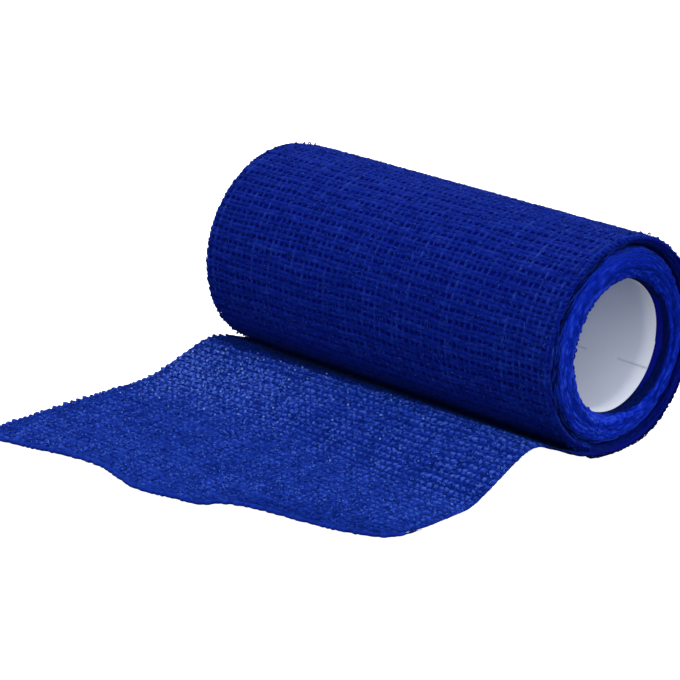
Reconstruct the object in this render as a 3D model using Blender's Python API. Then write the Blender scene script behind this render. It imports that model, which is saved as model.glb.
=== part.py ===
"""Cohesive bandage roll: a crepe bandage wound on itself, with its end come loose in front.

Metres, +Z up. The roll lies along X. The origin is on the surface the roll rests on, under the
middle of its axis, and the loose end lies towards -Y.
"""

from collections import namedtuple
from math import cos, hypot, pi, radians, sin

import bmesh
import bpy

# The cloth, and the room left between pieces that touch
BANDAGE_WIDTH = 0.100
CLOTH_THICKNESS = 0.001
PIECE_GAP = 0.0003

# The wound roll. Each turn lies on the one below, so the radius falls by one turn over a full round.
OUTER_RADIUS = 0.0243
TURN_HEIGHT = CLOTH_THICKNESS + PIECE_GAP
AXIS_HEIGHT = 0.0233
BORE_RADIUS = 0.0147
ROUND_SECTIONS = 76
STEP_LENGTH = 0.00025

# The cloth isn't wound quite evenly. One row for each set of waves along the outer turn: how many
# there are in a full turn, where they start, and how high they are. The rim's waves push it in and
# out along the axis, the skin's push it towards the axis and away.
Wave = namedtuple("Wave", "count start height")
RIM_WAVES = [Wave(2, 0.6, 0.00012), Wave(5, 0.0, 0.00008)]
RIM_SETBACK = 0.0002
SKIN_WAVES = [Wave(7, 1.0, 0.00012)]

# Where the loose end peels off: the angle from straight down, towards the front
PEEL_ANGLE = radians(23.7)

# The loose end: once it is off the roll the cloth relaxes, and gets a little wider and thicker
LOOSE_HALF_WIDTH = 0.0504
LOOSE_THICKNESS = 0.0016
THICKENING_REACH = 0.016
SLOPE_STEP = 0.0001
LOOSE_ROWS_TO_LANDING = 20
LOOSE_ROWS_TO_CUT = 9
COLUMNS_PER_BEND = 2
CREST_ROUNDING = 0.004
LANDING_ROUNDING = 0.0012
CUT_LIFT_REACH = 0.014

# The paper label rolled up in the bore
LABEL_RADIUS = BORE_RADIUS - PIECE_GAP
LABEL_THICKNESS = 0.001
LABEL_RECESS = 0.0022
LABEL_SECTIONS = 64

# One row for each point of an end of the roll, from the bore out over the rim. depth is measured
# inwards from the rim's plane, radius is where the cloth leaves the roll, and follows says how
# much of the outer turn's spiral the point takes part in.
EndPoint = namedtuple("EndPoint", "depth radius follows")
END_POINTS = [
    EndPoint(0.0034, BORE_RADIUS, 0.0),
    EndPoint(0.0016, 0.0149, 0.0),
    EndPoint(0.0006, 0.0154, 0.0),
    EndPoint(0.0001, 0.0163, 0.0),
    EndPoint(0.0000, 0.0178, 0.1),
    EndPoint(0.0003, 0.0195, 0.5),
    EndPoint(0.0009, 0.0206, 0.8),
    EndPoint(0.0020, 0.0213, 1.0),
    EndPoint(0.0024, 0.0219, 1.0),
    EndPoint(0.0018, 0.0226, 1.0),
    EndPoint(0.0006, 0.0230, 1.0),
    EndPoint(0.0000, 0.0236, 1.0),
    EndPoint(0.0003, 0.0241, 1.0),
    EndPoint(0.0012, OUTER_RADIUS, 1.0),
]

# Where the roll's skin is measured between its two ends, as shares of half the width
SKIN_STATIONS = (-0.6, -0.2, 0.2, 0.6)

# One row for each place across the loose end where its folds were measured: the slope of its
# front side below the crest, and where that side reaches the surface.
Fold = namedtuple("Fold", "x slope landing_y")
FOLDS = [
    Fold(-LOOSE_HALF_WIDTH, 0.300, -0.0400),
    Fold(-0.0250, 0.345, -0.0409),
    Fold(0.0000, 0.390, -0.0420),
    Fold(0.0250, 0.430, -0.0435),
    Fold(LOOSE_HALF_WIDTH, 0.466, -0.0448),
]

# One row for each bend of the cut end, from the left selvedge to the right one, with how far the
# cut edge stands off the surface there.
CutPoint = namedtuple("CutPoint", "x y lift")
CUT_POINTS = [
    CutPoint(-LOOSE_HALF_WIDTH, -0.0884, 0.0000),
    CutPoint(-0.0450, -0.0871, 0.0000),
    CutPoint(-0.0359, -0.0847, 0.0000),
    CutPoint(-0.0257, -0.0820, 0.0000),
    CutPoint(-0.0185, -0.0812, 0.0004),
    CutPoint(-0.0120, -0.0826, 0.0000),
    CutPoint(-0.0050, -0.0842, 0.0000),
    CutPoint(0.0030, -0.0824, 0.0000),
    CutPoint(0.0095, -0.0806, 0.0004),
    CutPoint(0.0135, -0.0778, 0.0012),
    CutPoint(0.0180, -0.0757, 0.0010),
    CutPoint(0.0240, -0.0738, 0.0002),
    CutPoint(0.0320, -0.0720, 0.0000),
    CutPoint(0.0400, -0.0700, 0.0000),
    CutPoint(0.0452, -0.0678, 0.0000),
    CutPoint(0.0482, -0.0652, 0.0000),
    CutPoint(0.0497, -0.0620, 0.0000),
    CutPoint(LOOSE_HALF_WIDTH, -0.0580, 0.0000),
]


def clear_scene():
    for item in list(bpy.data.objects):
        bpy.data.objects.remove(item, do_unlink=True)


def make_material(name, colour, roughness):
    material = bpy.data.materials.new(name)
    material.use_nodes = True
    shader = material.node_tree.nodes["Principled BSDF"]
    shader.inputs["Base Color"].default_value = (*colour, 1.0)
    shader.inputs["Roughness"].default_value = roughness
    shader.inputs["Metallic"].default_value = 0.0
    return material


def add_part(name, points, faces, material, collection):
    """A new object from a loft's points and faces, with its faces pointing out."""
    mesh = bpy.data.meshes.new(name)
    mesh.from_pydata(points, [], faces)
    shape = bmesh.new()
    shape.from_mesh(mesh)
    bmesh.ops.recalc_face_normals(shape, faces=shape.faces)
    shape.to_mesh(mesh)
    shape.free()
    mesh.materials.append(material)
    mesh.shade_smooth()
    mesh.set_sharp_from_angle(angle=radians(50))
    part = bpy.data.objects.new(name, mesh)
    collection.objects.link(part)
    return part


def strip_faces(rows, columns, rows_close, columns_close):
    """Quads between neighbouring rows of points, which may close on themselves either way."""
    faces = []
    for row in range(rows if rows_close else rows - 1):
        after = (row + 1) % rows
        for column in range(columns if columns_close else columns - 1):
            beside = (column + 1) % columns
            faces.append(
                (
                    row * columns + column,
                    row * columns + beside,
                    after * columns + beside,
                    after * columns + column,
                )
            )
    return faces


def slope_at(table, row, column):
    """How steeply a column changes with x at one of the table's rows."""
    before = table[max(row - 1, 0)]
    after = table[min(row + 1, len(table) - 1)]
    return (getattr(after, column) - getattr(before, column)) / (after.x - before.x)


def read_across(table, x, column):
    """A column's value at x, on a smooth curve through the table's rows."""
    row = 0
    while row < len(table) - 2 and x > table[row + 1].x:
        row += 1
    left = table[row]
    right = table[row + 1]
    span = right.x - left.x
    share = (x - left.x) / span
    turned = share * share * (3 - 2 * share)
    leaving = slope_at(table, row, column) * span * share * (1 - share) ** 2
    arriving = slope_at(table, row + 1, column) * span * share * share * (share - 1)
    start = getattr(left, column)
    return start + (getattr(right, column) - start) * turned + leaving + arriving


def on_section(angle, radius):
    """(y, z) at this angle from straight down, towards the front, and this distance from the axis."""
    return -radius * sin(angle), AXIS_HEIGHT - radius * cos(angle)


def waved(waves, travelled):
    return sum(wave.height * sin(wave.count * travelled + wave.start) for wave in waves)


def wound_section(travelled):
    """(x, radius) round the wall of the roll, this far along its outer turn, in radians. The skin's
    waves are strongest near the right end and die out towards the left one."""
    fall = TURN_HEIGHT * travelled / (2 * pi)
    half = BANDAGE_WIDTH / 2
    setback = RIM_SETBACK + waved(RIM_WAVES, travelled)
    skin = waved(SKIN_WAVES, travelled)
    right_end = []
    left_end = []
    for point in END_POINTS:
        radius = point.radius - fall * point.follows
        depth = point.depth + setback * point.follows
        right_end.append((half - depth, radius))
        left_end.append((depth - half, radius))
    skin_line = [
        (station * half, OUTER_RADIUS - fall + skin * (1 + station)) for station in SKIN_STATIONS
    ]
    return right_end + skin_line[::-1] + left_end[::-1]


def make_wound_roll(material, collection):
    """A loft round the axis. The last section stops short of the first, which makes the step that
    the loose end leaves from, and what would reach below the surface is pressed flat on it."""
    last = 2 * pi - STEP_LENGTH / OUTER_RADIUS
    points = []
    for number in range(ROUND_SECTIONS):
        travelled = last * number / (ROUND_SECTIONS - 1)
        section = wound_section(travelled)
        for x, radius in section:
            y, z = on_section(PEEL_ANGLE - travelled, radius)
            points.append((x, y, max(z, 0.0)))
    faces = strip_faces(ROUND_SECTIONS, len(section), True, True)
    return add_part("wound_roll", points, faces, material, collection)


def rounded_max(a, b, reach):
    """The larger of two heights, with a soft hollow where they meet."""
    near = max(reach - abs(a - b), 0.0) / reach
    return max(a, b) + near * near * reach / 4


def rounded_min(a, b, reach):
    """The smaller of two heights, with a soft crest where they meet."""
    return -rounded_max(-a, -b, reach)


def peel_start():
    """(angle, y, z) of the middle of the loose end's thickness, just clear of the roll's step."""
    clear_angle = (STEP_LENGTH + PIECE_GAP) / (OUTER_RADIUS - TURN_HEIGHT)
    angle = PEEL_ANGLE + clear_angle
    y, z = on_section(angle, OUTER_RADIUS - CLOTH_THICKNESS / 2)
    return angle, y, z


def loose_height(x, y):
    """Height of the loose end's middle: straight off the roll, over the crest and down to lie flat."""
    angle, start_y, start_z = peel_start()
    lying = LOOSE_THICKNESS / 2
    rising = start_z + (start_y - y) * sin(angle) / cos(angle)
    slope = read_across(FOLDS, x, "slope")
    landing_y = read_across(FOLDS, x, "landing_y")
    falling = lying + slope * (y - landing_y)
    front = rounded_max(falling, lying, LANDING_ROUNDING)
    height = rounded_min(rising, front, CREST_ROUNDING)
    from_cut = y - read_across(CUT_POINTS, x, "y")
    near_cut = max(1.0 - from_cut / CUT_LIFT_REACH, 0.0)
    return height + read_across(CUT_POINTS, x, "lift") * near_cut * near_cut


def loose_columns():
    """x of each line along the loose end: one at each bend of the cut end, and more in between."""
    columns = [CUT_POINTS[0].x]
    for left, right in zip(CUT_POINTS, CUT_POINTS[1:]):
        for number in range(1, COLUMNS_PER_BEND + 1):
            columns.append(left.x + (right.x - left.x) * number / COLUMNS_PER_BEND)
    return columns


def loose_sides(x, y):
    """(y, z) on the top and on the underside of the loose end, square to its slope."""
    slope = (loose_height(x, y + SLOPE_STEP) - loose_height(x, y - SLOPE_STEP)) / (2 * SLOPE_STEP)
    off_the_roll = min((peel_start()[1] - y) / THICKENING_REACH, 1.0)
    half = (CLOTH_THICKNESS + (LOOSE_THICKNESS - CLOTH_THICKNESS) * off_the_roll) / 2
    step_y = -half * slope / hypot(slope, 1.0)
    step_z = half / hypot(slope, 1.0)
    z = loose_height(x, y)
    return (y + step_y, z + step_z), (y - step_y, max(z - step_z, 0.0))


def make_loose_end(material, collection):
    """A loft from selvedge to selvedge. Each section goes along the top to the cut and comes back
    along the underside."""
    start_y = peel_start()[1]
    points = []
    columns = loose_columns()
    for x in columns:
        cut_y = read_across(CUT_POINTS, x, "y")
        landing_y = read_across(FOLDS, x, "landing_y") - LANDING_ROUNDING
        stations = [
            start_y + (landing_y - start_y) * row / LOOSE_ROWS_TO_LANDING
            for row in range(LOOSE_ROWS_TO_LANDING)
        ]
        stations += [
            landing_y + (cut_y - landing_y) * row / LOOSE_ROWS_TO_CUT
            for row in range(LOOSE_ROWS_TO_CUT + 1)
        ]
        sides = [loose_sides(x, y) for y in stations]
        points += [(x, y, z) for (y, z), _ in sides]
        points += [(x, y, z) for _, (y, z) in reversed(sides)]
    rows = LOOSE_ROWS_TO_LANDING + LOOSE_ROWS_TO_CUT + 1
    faces = strip_faces(len(columns), 2 * rows, False, True)
    for first in (0, (len(columns) - 1) * 2 * rows):
        for row in range(rows - 1):
            back = first + 2 * rows - 1 - row
            faces.append((first + row, first + row + 1, back - 1, back))
    return add_part("loose_end", points, faces, material, collection)


def make_core_label(material, collection):
    """A plain paper tube, as long as the bore less the recess at each mouth."""
    half = BANDAGE_WIDTH / 2 - LABEL_RECESS
    inside = LABEL_RADIUS - LABEL_THICKNESS
    section = [(-half, LABEL_RADIUS), (half, LABEL_RADIUS), (half, inside), (-half, inside)]
    points = []
    for number in range(LABEL_SECTIONS):
        for x, radius in section:
            y, z = on_section(2 * pi * number / LABEL_SECTIONS, radius)
            points.append((x, y, z))
    faces = strip_faces(LABEL_SECTIONS, len(section), True, True)
    return add_part("core_label", points, faces, material, collection)


clear_scene()
bandage = bpy.data.collections.new("cohesive_bandage_roll")
bpy.context.scene.collection.children.link(bandage)

# Many layers of the cloth look deeper blue than the one layer of the loose end
wound_cloth = make_material("wound_cloth", (0.009, 0.026, 0.31), 0.85)
single_cloth = make_material("single_cloth", (0.018, 0.062, 0.43), 0.85)
label_paper = make_material("label_paper", (0.72, 0.73, 0.78), 0.55)
make_wound_roll(wound_cloth, bandage)
make_loose_end(single_cloth, bandage)
make_core_label(label_paper, bandage)
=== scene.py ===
"""Cohesive bandage roll: a crepe bandage wound on itself, with its end come loose in front.

Metres, +Z up. The roll lies along X and its loose end lies towards -Y.
"""

from collections import namedtuple
from math import cos, pi, radians, sin

import bpy
import numpy as np
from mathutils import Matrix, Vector
from numpy.random import default_rng


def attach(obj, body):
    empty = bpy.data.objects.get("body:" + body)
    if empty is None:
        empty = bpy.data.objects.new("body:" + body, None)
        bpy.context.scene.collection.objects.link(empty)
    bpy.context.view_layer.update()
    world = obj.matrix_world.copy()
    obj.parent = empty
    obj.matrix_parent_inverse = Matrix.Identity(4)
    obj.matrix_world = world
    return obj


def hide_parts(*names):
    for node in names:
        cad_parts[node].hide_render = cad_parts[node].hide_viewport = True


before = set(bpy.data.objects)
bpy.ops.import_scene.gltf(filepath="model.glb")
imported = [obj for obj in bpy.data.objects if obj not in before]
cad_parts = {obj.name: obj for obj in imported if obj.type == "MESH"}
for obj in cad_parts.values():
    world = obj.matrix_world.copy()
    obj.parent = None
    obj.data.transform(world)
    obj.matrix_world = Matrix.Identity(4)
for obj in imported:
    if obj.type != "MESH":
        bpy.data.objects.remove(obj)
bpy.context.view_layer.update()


# The wound cloth under the outer turn. It is many turns of crepe bandage that stick to each other,
# wound without a core, and its radius falls by one turn over a full round. Only a little of it
# shows, as the dark bottom of the weave's pits and in the groove behind the rim.
BANDAGE_WIDTH = 0.100
OUTER_RADIUS = 0.0243
TURN_FALL = 0.0013
START_SPAN = 0.40
START_SUNK = 0.35
AXIS_HEIGHT = 0.0233
BORE_RADIUS = 0.0147
PEEL_ANGLE = radians(23.7)
BODY_SINK = 0.00038
BODY_SECTIONS = 240
FLOOR_GAP = 0.0003
FLOOR_ROUNDING = 0.0008
LEFT_OVERHANG = 0.0004
OVERHANG_FROM = 0.040
OVERHANG_SPAN = 0.010
LEFT_SHOULDER = 0.0006
SHOULDER_FROM = 0.042
SHOULDER_SPAN = 0.008
PRESS_DEPTH = 0.0009
PRESS_AT = radians(8)
PRESS_REACH = radians(28)
SKIN_SHARE = 0.96
SKIN_POINTS = 21
NOISE_CELLS = 64


def table(columns, *rows):
    """A table whose columns have names."""
    named = namedtuple("Row", columns)
    return [named(*row) for row in rows]


BODY_END = table(
    "depth radius follows",
    (0.0060, 0.0149, 0.0),
    (0.0030, 0.0150, 0.0),
    (0.0018, 0.0156, 0.0),
    (0.0010, 0.0167, 0.0),
    (0.0006, 0.0188, 0.0),
    (0.0012, 0.0202, 0.1),
    (0.0032, 0.0210, 0.3),
    (0.0042, 0.0217, 0.6),
    (0.0030, 0.0225, 1.0),
    (0.0010, 0.0228, 1.0),
    (0.0001, 0.0232, 1.0),
    (0.0000, 0.0236, 1.0),
    (0.0004, OUTER_RADIUS - BODY_SINK, 1.0),
)


def eased(share):
    """A share from 0 to 1 that leaves and arrives softly."""
    return share * share * (3 - 2 * share)


def ramp(value, start, span):
    """0 up to the start, rising to 1 a span further on. The span may be negative."""
    return np.clip((value - start) / span, 0, 1)


def soft_noise(across, along, seed):
    """Smooth noise from 0 to 1 over a plane, one bump to each unit."""
    bumps = default_rng(seed).random((NOISE_CELLS, NOISE_CELLS))
    across, along = np.broadcast_arrays(across, along)
    left = np.floor(across).astype(int)
    low = np.floor(along).astype(int)
    right_share = eased(across - left)
    high_share = eased(along - low)
    near, far = (
        bumps[left % NOISE_CELLS, cell % NOISE_CELLS] * (1 - right_share)
        + bumps[(left + 1) % NOISE_CELLS, cell % NOISE_CELLS] * right_share
        for cell in (low, low + 1)
    )
    return near * (1 - high_share) + far * high_share


def rounded_max(a, b, reach):
    near = np.clip(reach - np.abs(a - b), 0, None) / reach
    return np.maximum(a, b) + near * near * reach / 4


def pressed(angle):
    """How far the roll's own weight presses its skin in, by the angle from straight down."""
    wrapped = (angle - PRESS_AT + pi) % (2 * pi) - pi
    return PRESS_DEPTH * np.exp(-((wrapped / PRESS_REACH) ** 2))


def on_roll(x, travelled, radius):
    """Points at this distance from the axis, this far along the outer turn in radians. The roll is
    soft, and is pressed a little flat where it rests."""
    x, travelled, radius = np.broadcast_arrays(x, travelled, radius)
    angle = PEEL_ANGLE - travelled
    in_wall = ramp(radius, BORE_RADIUS, OUTER_RADIUS - BORE_RADIUS)
    radius = radius - pressed(angle) * in_wall
    shoulder = ramp(-x, SHOULDER_FROM, SHOULDER_SPAN) ** 2 * np.clip(-np.cos(angle), 0, 1)
    radius = radius - LEFT_SHOULDER * shoulder
    height = rounded_max(AXIS_HEIGHT - radius * np.cos(angle), FLOOR_GAP, FLOOR_ROUNDING)
    x = x - LEFT_OVERHANG * ramp(-x, OVERHANG_FROM, OVERHANG_SPAN)
    return np.stack([x, -radius * np.sin(angle), height], axis=-1)


def grid_quads(rows, columns, rows_close=False, columns_close=False):
    """Corners of the quads between neighbouring rows and columns of points."""
    row, column = np.meshgrid(
        np.arange(rows if rows_close else rows - 1),
        np.arange(columns if columns_close else columns - 1),
        indexing="ij",
    )
    after = (row + 1) % rows
    beside = (column + 1) % columns
    corners = ((row, column), (row, beside), (after, beside), (after, column))
    return np.stack([along * columns + across for along, across in corners], axis=-1).reshape(-1, 4)


def add_piece(name, points, quads, spots=None, tones=None):
    """A smooth mesh of quads. spots places each corner on the flat bake map, and tones is each point's
    thread tone, with painted light and shade in it."""
    points = np.asarray(points, float).reshape(-1, 3)
    mesh = bpy.data.meshes.new(name)
    mesh.vertices.add(len(points))
    mesh.vertices.foreach_set("co", points.ravel())
    mesh.loops.add(quads.size)
    mesh.loops.foreach_set("vertex_index", quads.ravel().astype(np.int32))
    mesh.polygons.add(len(quads))
    mesh.polygons.foreach_set("loop_start", np.arange(0, quads.size, quads.shape[1], dtype=np.int32))
    mesh.update(calc_edges=True)
    mesh.shade_smooth()
    if spots is not None:
        layer = mesh.uv_layers.new(name="OFBake")
        layer.data.foreach_set("uv", np.asarray(spots, np.float32).ravel())
    if tones is not None:
        shade = mesh.attributes.new("tone_and_painted_light", "FLOAT", "POINT")
        shade.data.foreach_set("value", np.asarray(tones, np.float32).ravel())
    piece = bpy.data.objects.new(name, mesh)
    bpy.context.scene.collection.objects.link(piece)
    return piece


class Wire:
    """One output of a material's node. Arithmetic on it adds Math nodes after it."""

    def __init__(self, finish, socket):
        self.finish = finish
        self.socket = socket

    def worked(self, operation, first, second):
        return self.finish.node("ShaderNodeMath", {"operation": operation}, {0: first, 1: second})

    def __add__(self, other):
        return self.worked("ADD", self, other)

    def __radd__(self, other):
        return self.worked("ADD", other, self)

    def __sub__(self, other):
        return self.worked("SUBTRACT", self, other)

    def __rsub__(self, other):
        return self.worked("SUBTRACT", other, self)

    def __mul__(self, other):
        return self.worked("MULTIPLY", self, other)

    def __rmul__(self, other):
        return self.worked("MULTIPLY", other, self)


class Finish:
    """The nodes of one finish: a material's, or the studio's surroundings."""

    def __init__(self, owner, shader="Principled BSDF"):
        self.owner = owner
        self.owner.use_nodes = True
        self.tree = self.owner.node_tree
        self.shader = self.tree.nodes[shader]

    def feed(self, socket, value):
        if isinstance(value, Wire):
            self.tree.links.new(value.socket, socket)
        else:
            socket.default_value = value

    def node(self, kind, settings, sockets, output=0):
        """A node of this kind: its settings first, then what goes into its sockets."""
        made = self.tree.nodes.new(kind)
        for name, value in settings.items():
            setattr(made, name, value)
        for name, value in sockets.items():
            self.feed(made.inputs[name], value)
        return Wire(self, made.outputs[output])

    def grain(self, scale, detail, roughness=0.5):
        return self.node(
            "ShaderNodeTexNoise", {}, {"Scale": scale, "Detail": detail, "Roughness": roughness}
        )

    def bumps(self, strength, distance, height):
        return self.node(
            "ShaderNodeBump", {}, {"Strength": strength, "Distance": distance, "Height": height}
        )

    def spread(self, value, low, high, lowest=0.0, highest=1.0):
        """The value drawn out so that low to high becomes lowest to highest."""
        ends = {"From Min": low, "From Max": high, "To Min": lowest, "To Max": highest}
        return self.node("ShaderNodeMapRange", {}, {"Value": value, **ends})

    def mixed(self, mask, first, second):
        """Two colours, mixed by a mask."""
        return self.node("ShaderNodeMix", {"data_type": "RGBA"}, {0: mask, 6: first, 7: second}, 2)

    def surface(self, **sockets):
        for name, value in sockets.items():
            self.feed(self.shader.inputs[name.replace("_", " ")], value)


def wear(piece, finish):
    """Gives a piece its finish, and lets it go with the object's one body."""
    piece.data.materials.append(finish.owner)
    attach(piece, "root")


def turn_fall(travelled):
    """How far the ends of the turns lie inside the outer turn's start, where they come up softly."""
    risen = eased(ramp(travelled, 0, START_SPAN))
    return TURN_FALL * (travelled / (2 * pi) + START_SUNK * (1 - risen))


def body_section(travelled):
    """(x, radius) across the wound cloth under the outer turn, from the right bore to the left."""
    fall = TURN_FALL * travelled / (2 * pi)
    half = BANDAGE_WIDTH / 2
    end_fall = turn_fall(travelled)
    right_end = [(half - point.depth, point.radius - end_fall * point.follows) for point in BODY_END]
    shares = np.linspace(SKIN_SHARE, -SKIN_SHARE, SKIN_POINTS)
    skin = [(share * half, OUTER_RADIUS - BODY_SINK - fall) for share in shares]
    left_end = [(-x, radius) for x, radius in reversed(right_end)]
    return np.array(right_end + skin + left_end)


def make_wound_body():
    points = []
    for travelled in np.linspace(0, 2 * pi, BODY_SECTIONS, endpoint=False):
        x, radius = body_section(travelled).T
        points.append(on_roll(x, travelled, radius))
    return add_piece("wound_body", points, grid_quads(BODY_SECTIONS, len(points[0]), True, True))


inner_cloth = Finish(bpy.data.materials.new("inner_cloth"))
inner_mottle = inner_cloth.grain(1100.0, 3.0)
inner_depth = inner_cloth.spread(inner_mottle, 0.40, 0.70)
inner_cloth.surface(
    Base_Color=inner_cloth.mixed(inner_depth, (0.0003, 0.0020, 0.21, 1), (0.0014, 0.0083, 0.34, 1)),
    Roughness=0.8 + 0.2 * inner_mottle,
    Normal=inner_cloth.bumps(0.6, 0.0003, inner_mottle),
    Specular_IOR_Level=0.1,
)
wound_body = make_wound_body()
wear(wound_body, inner_cloth)
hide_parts("wound_roll")


# The crosswise threads of the outer turn. They are soft cotton yarns laid in pairs from selvedge to
# selvedge, and they pass over and under the lengthwise threads in turn. At the selvedge each one
# bends over the rim of the roll and turns back into its neighbour.
PAIR_PITCH = 0.00243
PAIR_CLOSENESS = 0.00043
COLUMN_PITCH = 0.00171
WEAVE_RISE = 0.00007
CREPE_RISE = 0.00020
CROSS_HALF_WIDTH = 0.00049
PAIR_OPENING = 0.00022
CROSS_HALF_HEIGHT = 0.00024
THREAD_DEPTH = 0.00012
CROSS_STEPS_PER_COLUMN = 2
OPEN_REACH = 0.35
BAKE_GAP = 0.05
RIM_BEND_START = 0.0497
RIM_BEND_RADIUS = 0.0007
RIM_BEND_END = 0.0507
RIM_BEND_POINTS = 5
RIM_CLEAR = 0.0004
RIM_TURN_BACK = 0.9
SWAY, SWAY_SIZE = 0.0010, (0.022, 0.012)
QUICK_SWAY, QUICK_SWAY_SIZE = 0.00045, (0.0042, 0.0017)
CREPE_SIZE = (0.0021, 0.0019)
OPENING_SIZE = 0.0036
CROSS_SLUB = 0.0014
CROSS_THINNEST = 0.60
# Each tone triple's second entry is painted light and shade by the rise.
CROSS_TONE = (0.47, 0.22, 0.15)
ROLL_CREPE_SEED = 11
ROLL_RISE_SEED = 23
LATEX_AND_HIGHLIGHT_SPAN = 0.16
# Tones at which the painted shadow starts and is full: below them the yarn is painted nearly black.
PAINTED_SHADOW_FROM = -0.6
PAINTED_SHADOW_TO = -1.4
# Painted shade under the front of the roll: where it starts round the roll, how far on it is full, and
# how deep.
SHADE_STARTS = radians(63)
SHADE_SPAN = radians(45)
UNDER_SHADE = 0.8


def turn_angle(travelled_length):
    """How far along the outer turn, in radians, from the length of cloth since the peel line."""
    loss = TURN_FALL / (2 * pi)
    inside = OUTER_RADIUS**2 - 2 * loss * np.asarray(travelled_length)
    return (OUTER_RADIUS - np.sqrt(inside)) / loss


def over_the_rim(across):
    """(x, drop from the skin, lean) for a place across the cloth, which bends in over the rims."""
    past = np.clip(np.abs(across) - RIM_BEND_START, 0, None)
    lean = past / RIM_BEND_RADIUS
    x = np.sign(across) * (np.minimum(np.abs(across), RIM_BEND_START) + RIM_BEND_RADIUS * np.sin(lean))
    return x, RIM_BEND_RADIUS * (1 - np.cos(lean)), lean * np.sign(across)


def round_the_roll(angle):
    """(outward, onward) directions round the roll."""
    level = np.zeros_like(angle)
    outward = np.stack([level, -np.sin(angle), -np.cos(angle)], axis=-1)
    onward = np.stack([level, np.cos(angle), -np.sin(angle)], axis=-1)
    return outward, onward


def on_outer_turn(across, length, depth):
    """(points, outward directions, lengthwise directions) on the outer turn, at a depth under it."""
    across, length, depth = np.broadcast_arrays(across, length, depth)
    travelled = turn_angle(length)
    x, drop, lean = over_the_rim(across)
    radial, onward = round_the_roll(PEEL_ANGLE - travelled)
    out = radial * np.cos(lean)[..., None] + np.array([1.0, 0.0, 0.0]) * np.sin(lean)[..., None]
    radius = OUTER_RADIUS - TURN_FALL * travelled / (2 * pi) - drop - depth * np.cos(lean)
    return on_roll(x - depth * np.sin(lean), travelled, radius), out, onward


def thread_mesh(threads, around, open_below):
    """Points, quads, bake-map spots and tones of many threads. Each thread is (centres, outward,
    sideways, half widths, half heights, tones)."""
    if open_below:
        turned = np.linspace(-OPEN_REACH, pi + OPEN_REACH, around)
    else:
        turned = np.linspace(0, 2 * pi, around, endpoint=False)
    points, quads, spots, tones = [], [], [], []
    first = 0
    for number, (centre, out, side, width, height, tone) in enumerate(threads):
        steps = len(centre)
        ring = (
            centre[:, None]
            + side[:, None] * (width[:, None] * np.cos(turned))[..., None]
            + out[:, None] * (height[:, None] * np.sin(turned))[..., None]
        )
        points.append(ring.reshape(-1, 3))
        quads.append(grid_quads(steps, around, False, not open_below) + first)
        strips = around - 1 if open_below else around
        step, strip = np.meshgrid(np.arange(steps - 1), np.arange(strips), indexing="ij")
        corner_steps = np.stack([step, step, step + 1, step + 1], axis=-1)
        corner_strips = np.stack([strip, strip + 1, strip + 1, strip], axis=-1)
        along = corner_steps / (steps - 1)
        across = (number + BAKE_GAP + (1 - 2 * BAKE_GAP) * corner_strips / strips) / len(threads)
        spots.append(np.stack([along, across], axis=-1).reshape(-1, 2))
        tones.append(np.repeat(np.broadcast_to(tone, steps), around))
        first += steps * around
    return np.concatenate(points), np.concatenate(quads), np.concatenate(spots), np.concatenate(tones)


def add_threads(name, threads, around, open_below, finish):
    """One piece of many threads, in its finish."""
    piece = add_piece(name, *thread_mesh(threads, around, open_below))
    wear(piece, finish)
    return piece


OUTER_TURN_LENGTH = 2 * pi * OUTER_RADIUS - TURN_FALL * pi
ROLL_PAIRS = round(OUTER_TURN_LENGTH / PAIR_PITCH)
PAIR_MIDDLES = (np.arange(ROLL_PAIRS) + 0.5) * OUTER_TURN_LENGTH / ROLL_PAIRS
ROLL_ROWS = (PAIR_MIDDLES[:, None] + np.array([-PAIR_CLOSENESS, PAIR_CLOSENESS])).ravel()
ROLL_COLUMNS = 59


def column_count_at(across):
    """Which lengthwise thread is at this place across the cloth, as a number with a fraction."""
    return across / COLUMN_PITCH + (ROLL_COLUMNS - 1) / 2


def crinkle(across, length, size, seed):
    """Unevenness from -0.5 to 0.5 over the cloth, in patches of this size."""
    return soft_noise(across / size[0] + 9, length / size[1] + 3, seed) - 0.5


def row_sway(across, length, seed):
    """How far a crosswise thread strays lengthwise: the crepe cloth never lies quite straight."""
    slow = SWAY * crinkle(across, length, SWAY_SIZE, seed)
    return slow + QUICK_SWAY * crinkle(across, length, QUICK_SWAY_SIZE, seed + 1)


def crepe_rise(across, length, seed):
    """How much the threads at this place stand up or sink."""
    return CREPE_RISE * crinkle(across, length, CREPE_SIZE, seed)


def slubs(first, second, thinnest, seed):
    """How thick a yarn is along its length: uneven, and 1 on the whole."""
    return thinnest + 2 * (1 - thinnest) * soft_noise(first, second, seed)


def yarn_size(half_width, half_height, thick):
    """Half width and half height of a yarn: where it is thin it is also rounder."""
    return half_width * thick, half_height * (0.6 + 0.4 * thick)


def yarn_tone(tones, rise, full_rise, seed):
    """A yarn's tone: painted light where it stands up and painted shade where it sinks, and a little
    different for each yarn. tones is (middle tone, how much the painted light and shade change with the
    rise, and from yarn to yarn)."""
    middle, painted_light_by_rise, by_yarn = tones
    return middle + painted_light_by_rise * rise / full_rise + by_yarn * (default_rng(seed).random() - 0.5)


def painted_shade_under_roll(travelled):
    """Painted shade: 0 on the open side of the roll, rising to 1 in the hollow between its front and
    the crest.
    """
    return ramp((PEEL_ANGLE - travelled) % (2 * pi), SHADE_STARTS, -SHADE_SPAN)


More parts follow.
